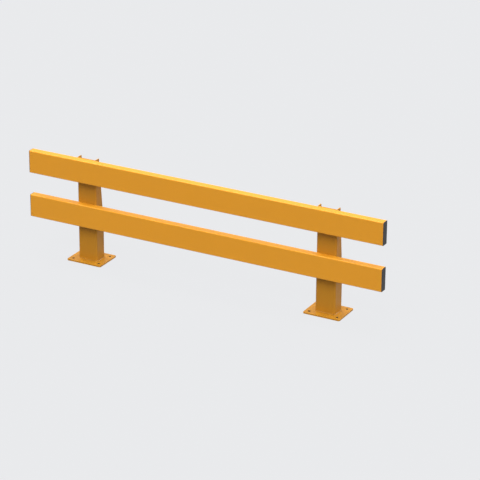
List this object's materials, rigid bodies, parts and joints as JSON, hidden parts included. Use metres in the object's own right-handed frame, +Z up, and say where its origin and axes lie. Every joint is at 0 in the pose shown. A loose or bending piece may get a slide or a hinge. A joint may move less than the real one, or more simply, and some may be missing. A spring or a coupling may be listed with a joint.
{
  "type": "steel guard barrier section",
  "caption": "Steel guard barrier section: box-section rails with dark end caps, one above another, bolted to the fronts of folded channel posts on drilled base plates.",
  "frame": {"origin": "on the ground, midway between the middles of the two base plates", "axes": "+X along the rails, +Y from the rails towards the back of the posts, +Z up"},
  "size_m": [2.496, 0.2, 0.7],
  "materials": {
    "yellow_paint": "satin",
    "cap_plastic": "matte",
    "zinc_steel": "satin"
  },
  "bodies": {
    "root": {"upper_rail": "yellow_paint", "lower_rail": "yellow_paint", "upper_left_end_cap": "cap_plastic", "upper_right_end_cap": "cap_plastic", "lower_left_end_cap": "cap_plastic", "lower_right_end_cap": "cap_plastic", "left_post": "yellow_paint", "right_post": "yellow_paint", "left_base_plate": "yellow_paint", "right_base_plate": "yellow_paint", "left_foot_weld": "yellow_paint", "right_foot_weld": "yellow_paint", "upper_left_washers": "zinc_steel", "upper_right_washers": "zinc_steel", "lower_left_washers": "zinc_steel", "lower_right_washers": "zinc_steel", "upper_left_bolts": "zinc_steel", "upper_right_bolts": "zinc_steel", "lower_left_bolts": "zinc_steel", "lower_right_bolts": "zinc_steel"}
  },
  "joints": []
}
